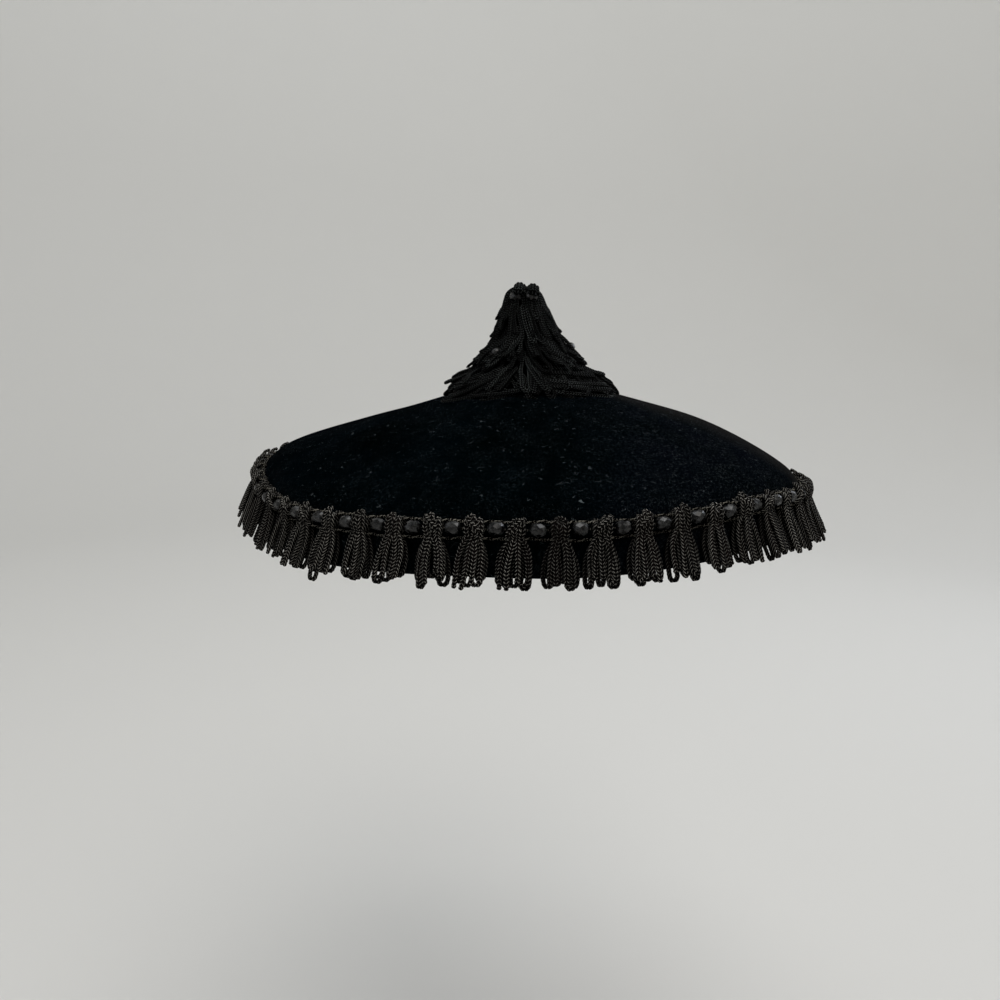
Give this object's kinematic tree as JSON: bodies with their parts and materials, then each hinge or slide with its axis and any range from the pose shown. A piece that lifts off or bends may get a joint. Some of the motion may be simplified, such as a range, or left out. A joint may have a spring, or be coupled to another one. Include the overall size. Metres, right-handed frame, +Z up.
{
  "type": "cocktail hat",
  "caption": "Small round saucer-shaped velvet hat with a beaded tassel fringe round its edge and a large tassel on its top.",
  "frame": {"origin": "inside the top of the crown on the hat's axis, where the top of the head meets it", "axes": "+Z up along the hat's axis, -Y the front, +X the right side as seen from the front"},
  "size_m": [0.244, 0.244, 0.1025],
  "materials": {
    "velvet": "black pile velvet, deep and matt with a faint blue-black sheen",
    "rayon_cord": "black rayon chainette cord with a soft sheen",
    "jet_glass": "opaque black cut glass, fire polished"
  },
  "bodies": {
    "root": {"crown_shell": "velvet", "fringe_01": "rayon_cord", "fringe_02": "rayon_cord", "fringe_03": "rayon_cord", "fringe_04": "rayon_cord", "fringe_05": "rayon_cord", "fringe_06": "rayon_cord", "fringe_07": "rayon_cord", "fringe_08": "rayon_cord", "fringe_09": "rayon_cord", "fringe_10": "rayon_cord", "fringe_11": "rayon_cord", "fringe_12": "rayon_cord", "fringe_13": "rayon_cord", "fringe_14": "rayon_cord", "bead_string_01": "jet_glass", "bead_string_02": "jet_glass", "bead_string_03": "jet_glass", "bead_string_04": "jet_glass", "bead_string_05": "jet_glass", "bead_string_06": "jet_glass", "bead_string_07": "jet_glass", "bead_string_08": "jet_glass", "bead_string_09": "jet_glass", "bead_string_10": "jet_glass", "bead_string_11": "jet_glass", "bead_string_12": "jet_glass", "bead_string_13": "jet_glass", "bead_string_14": "jet_glass", "top_skirt_lower": "rayon_cord", "top_skirt_middle": "rayon_cord", "top_skirt_upper": "rayon_cord", "top_tip_knot": "rayon_cord", "top_tip_bead_01": "jet_glass", "top_tip_bead_02": "jet_glass", "top_tip_bead_03": "jet_glass", "top_tip_bead_04": "jet_glass", "top_skirt_bead_01": "jet_glass", "top_skirt_bead_02": "jet_glass", "top_skirt_bead_03": "jet_glass"}
  },
  "joints": []
}
